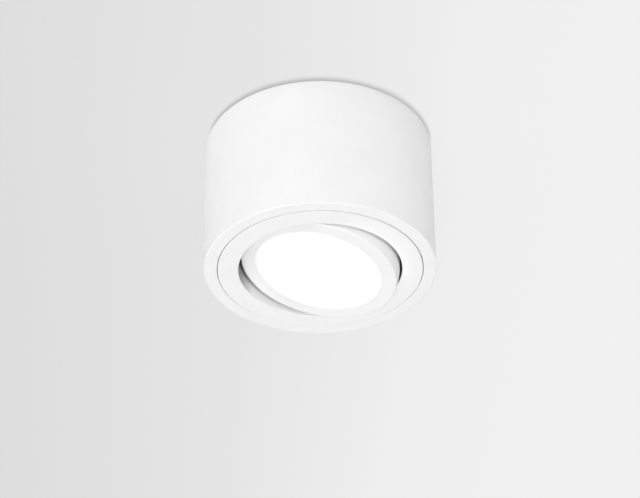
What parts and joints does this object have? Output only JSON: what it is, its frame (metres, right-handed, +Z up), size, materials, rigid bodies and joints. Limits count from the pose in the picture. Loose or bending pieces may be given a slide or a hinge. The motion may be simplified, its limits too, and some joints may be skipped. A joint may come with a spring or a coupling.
{
  "type": "ceiling spotlight",
  "caption": "Round surface-mounted ceiling spotlight: short white cylinder with a flat turning bezel and a tilting round light head behind an opal diffuser.",
  "frame": {"origin": "centre of the ceiling plane, midway between the two fixing slots", "axes": "+Z up into the ceiling, +Y along the tilt axis of the light head, +X towards the side tilted down"},
  "size_m": [0.082, 0.082, 0.0591],
  "materials": {
    "white_paint": "matte",
    "opal_diffuser": "satin",
    "plate_steel": "satin",
    "spring_steel": "satin",
    "zinc_plate": "satin",
    "dark_rubber": "matte",
    "terminal_plastic": "matte",
    "brass": "satin",
    "slip_plastic": "satin",
    "cast_aluminium": "satin",
    "board_white": "satin",
    "phosphor": "satin",
    "pad_grey": "matte",
    "reflector_white": "gloss",
    "board_green": "satin",
    "black_sleeve": "gloss",
    "film_yellow": "satin",
    "ferrite": "matte",
    "chip_black": "matte",
    "cover_plastic": "matte"
  },
  "bodies": {
    "housing": {"housing": "white_paint", "back_plate": "plate_steel", "plate_circlip": "spring_steel", "cable_grommet": "dark_rubber", "terminal_block": "terminal_plastic", "terminal_barrels": "brass", "terminal_screws": "zinc_plate", "block_screws": "zinc_plate", "earth_washer": "spring_steel", "earth_screw": "zinc_plate"},
    "bezel": {"bezel_ring": "white_paint", "spring_clip_left": "spring_steel", "spring_clip_right": "spring_steel", "clip_rivets": "zinc_plate", "pivot_pins": "spring_steel", "friction_washers": "slip_plastic"},
    "head": {"tilt_ring": "white_paint", "retaining_ring": "spring_steel", "diffuser": "opal_diffuser", "reflector": "reflector_white", "led_board": "board_white", "led_chips": "phosphor", "thermal_pad": "pad_grey", "board_screws": "zinc_plate", "module_body": "cast_aluminium", "driver_board": "board_green", "driver_screws": "zinc_plate", "storage_capacitor": "black_sleeve", "film_capacitor": "film_yellow", "driver_inductor": "ferrite", "driver_chips": "chip_black", "rear_cover": "cover_plastic", "cover_screws": "zinc_plate", "lead_bush": "dark_rubber"}
  },
  "joints": [
    {"name": "bezel_swivel", "type": "hinge", "parent": "housing", "child": "bezel", "pos_m": [0, 0, 0], "axis": [0, 0, 1], "range_deg": [-175, 175]},
    {"name": "head_tilt", "type": "hinge", "parent": "bezel", "child": "head", "pos_m": [0, 0, -0.05], "axis": [0, 1, 0], "range_deg": [-37.3, 12.7]}
  ]
}
